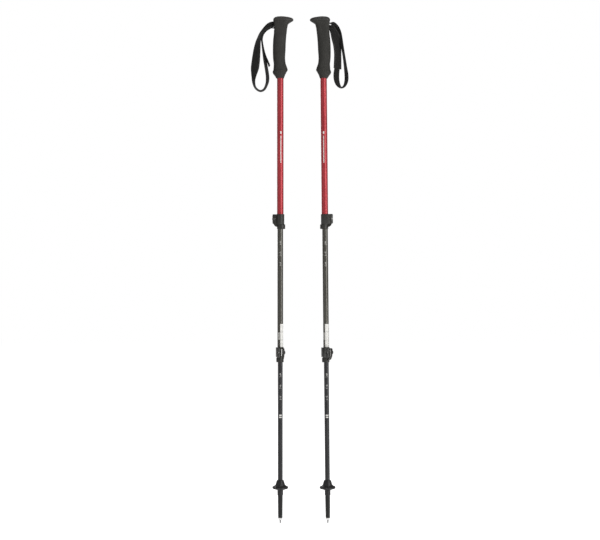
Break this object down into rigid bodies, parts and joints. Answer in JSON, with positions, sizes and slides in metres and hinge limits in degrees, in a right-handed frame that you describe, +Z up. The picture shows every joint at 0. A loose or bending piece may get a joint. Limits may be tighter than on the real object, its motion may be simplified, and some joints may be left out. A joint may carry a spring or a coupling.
{
  "type": "trekking poles",
  "caption": "Pair of telescopic hiking poles with cam-lever clamps, moulded grips with wrist straps, small baskets and carbide tips, standing side by side.",
  "frame": {"origin": "centre of the flat end of the left pole's tip", "axes": "+Z up the left shaft, +X from the left pole to the right pole, +Y away from the viewer"},
  "size_m": [0.2411, 0.0408, 1.25],
  "materials": {
    "grip_foam": "matte charcoal moulded grip",
    "cap_plastic": "matte charcoal cap",
    "bright_steel": "bright steel pins and screws",
    "black_plastic": "black moulded plastic",
    "strap_band": "black padded webbing",
    "strap_webbing": "black woven webbing",
    "red_tube": "red metallic lacquer",
    "grey_tube": "warm dark grey lacquer",
    "black_tube": "near-black lacquer",
    "clamp_plastic": "black glass-filled plastic",
    "lever_plastic": "black plastic, satin",
    "plate_steel": "pressed steel plate",
    "bush_plastic": "pale slippery plastic",
    "ferrule_plastic": "black plastic",
    "basket_plastic": "black flexible plastic",
    "carbide": "dark sintered carbide",
    "bright_sleeve": "bright turned sleeve"
  },
  "bodies": {
    "left_pole_upper": {"left_grip": "grip_foam", "left_grip_cap": "cap_plastic", "left_strap_pin": "bright_steel", "left_strap_wedge": "black_plastic", "left_upper_tube": "red_tube", "left_upper_collar": "clamp_plastic", "left_upper_cam_plate": "plate_steel", "left_upper_barrel_pin": "bright_steel"},
    "left_wrist_strap": {"left_strap_band": "strap_band", "left_strap_webbing": "strap_webbing", "left_strap_tail": "strap_webbing"},
    "left_upper_cam": {"left_upper_lever": "lever_plastic"},
    "left_upper_adjuster": {"left_upper_tension_screw": "bright_steel"},
    "left_pole_middle": {"left_middle_tube": "grey_tube", "left_middle_bush": "bush_plastic", "left_lower_collar": "clamp_plastic", "left_lower_cam_plate": "plate_steel", "left_lower_barrel_pin": "bright_steel"},
    "left_lower_cam": {"left_lower_lever": "lever_plastic"},
    "left_lower_adjuster": {"left_lower_tension_screw": "bright_steel"},
    "left_pole_lower": {"left_lower_tube": "black_tube", "left_lower_bush": "bush_plastic", "left_ferrule": "ferrule_plastic", "left_basket": "basket_plastic", "left_tip_sleeve": "bright_sleeve", "left_carbide_tip": "carbide"},
    "right_pole_upper": {"right_grip": "grip_foam", "right_grip_cap": "cap_plastic", "right_strap_pin": "bright_steel", "right_strap_wedge": "black_plastic", "right_upper_tube": "red_tube", "right_upper_collar": "clamp_plastic", "right_upper_cam_plate": "plate_steel", "right_upper_barrel_pin": "bright_steel"},
    "right_wrist_strap": {"right_strap_band": "strap_band", "right_strap_webbing": "strap_webbing", "right_strap_tail": "strap_webbing"},
    "right_upper_cam": {"right_upper_lever": "lever_plastic"},
    "right_upper_adjuster": {"right_upper_tension_screw": "bright_steel"},
    "right_pole_middle": {"right_middle_tube": "grey_tube", "right_middle_bush": "bush_plastic", "right_lower_collar": "clamp_plastic", "right_lower_cam_plate": "plate_steel", "right_lower_barrel_pin": "bright_steel"},
    "right_lower_cam": {"right_lower_lever": "lever_plastic"},
    "right_lower_adjuster": {"right_lower_tension_screw": "bright_steel"},
    "right_pole_lower": {"right_lower_tube": "black_tube", "right_lower_bush": "bush_plastic", "right_ferrule": "ferrule_plastic", "right_basket": "basket_plastic", "right_tip_sleeve": "bright_sleeve", "right_carbide_tip": "carbide"}
  },
  "joints": [
    {"name": "left_strap_swing", "type": "hinge", "parent": "left_pole_upper", "child": "left_wrist_strap", "pos_m": [-0.013, 0, 1.231], "axis": [0, 1, 0], "range_deg": [0, 30]},
    {"name": "left_middle_slide", "type": "slide", "parent": "left_pole_upper", "child": "left_pole_middle", "axis": [0, 0, 1], "range_m": [-0.075, 0.29]},
    {"name": "left_lower_slide", "type": "slide", "parent": "left_pole_middle", "child": "left_pole_lower", "axis": [0, 0, 1], "range_m": [-0.075, 0.287]},
    {"name": "left_upper_lever_swing", "type": "hinge", "parent": "left_pole_upper", "child": "left_upper_cam", "pos_m": [-0.0152, 0.01, 0.75075], "axis": [0, 0, 1], "range_deg": [0, 120]},
    {"name": "left_upper_screw_turn", "type": "hinge", "parent": "left_pole_upper", "child": "left_upper_adjuster", "pos_m": [-0.0152, 0, 0.75075], "axis": [0, -1, 0], "range_deg": [-360, 360]},
    {"name": "left_lower_lever_swing", "type": "hinge", "parent": "left_pole_middle", "child": "left_lower_cam", "pos_m": [-0.0038, -0.01695, 0.42175], "axis": [0, 0, 1], "range_deg": [0, 120]},
    {"name": "left_lower_screw_turn", "type": "hinge", "parent": "left_pole_middle", "child": "left_lower_adjuster", "pos_m": [0.00543, -0.01312, 0.42175], "axis": [0.9239, 0.3827, 0], "range_deg": [-360, 360]},
    {"name": "right_pole_apart", "type": "slide", "parent": "left_pole_upper", "child": "right_pole_upper", "axis": [1, 0, 0], "range_m": [0, 0.3]},
    {"name": "right_strap_swing", "type": "hinge", "parent": "right_pole_upper", "child": "right_wrist_strap", "pos_m": [0.11857, 0, 1.23107], "axis": [0, -1, 0], "range_deg": [0, 30]},
    {"name": "right_middle_slide", "type": "slide", "parent": "right_pole_upper", "child": "right_pole_middle", "axis": [-0.0098, 0, 1], "range_m": [-0.075, 0.29]},
    {"name": "right_lower_slide", "type": "slide", "parent": "right_pole_middle", "child": "right_pole_lower", "axis": [-0.0098, 0, 1], "range_m": [-0.075, 0.287]},
    {"name": "right_upper_lever_swing", "type": "hinge", "parent": "right_pole_upper", "child": "right_upper_cam", "pos_m": [0.12546, -0.01, 0.75086], "axis": [-0.0098, 0, 1], "range_deg": [0, 120]},
    {"name": "right_upper_screw_turn", "type": "hinge", "parent": "right_pole_upper", "child": "right_upper_adjuster", "pos_m": [0.12546, 0, 0.75086], "axis": [0, 1, 0], "range_deg": [-360, 360]},
    {"name": "right_lower_lever_swing", "type": "hinge", "parent": "right_pole_middle", "child": "right_lower_cam", "pos_m": [0.11645, -0.01711, 0.42176], "axis": [-0.0098, 0, 1], "range_deg": [0, 120]},
    {"name": "right_lower_screw_turn", "type": "hinge", "parent": "right_pole_middle", "child": "right_lower_adjuster", "pos_m": [0.12352, -0.01004, 0.42183], "axis": [0.7071, 0.7071, 0.0069], "range_deg": [-360, 360]}
  ]
}
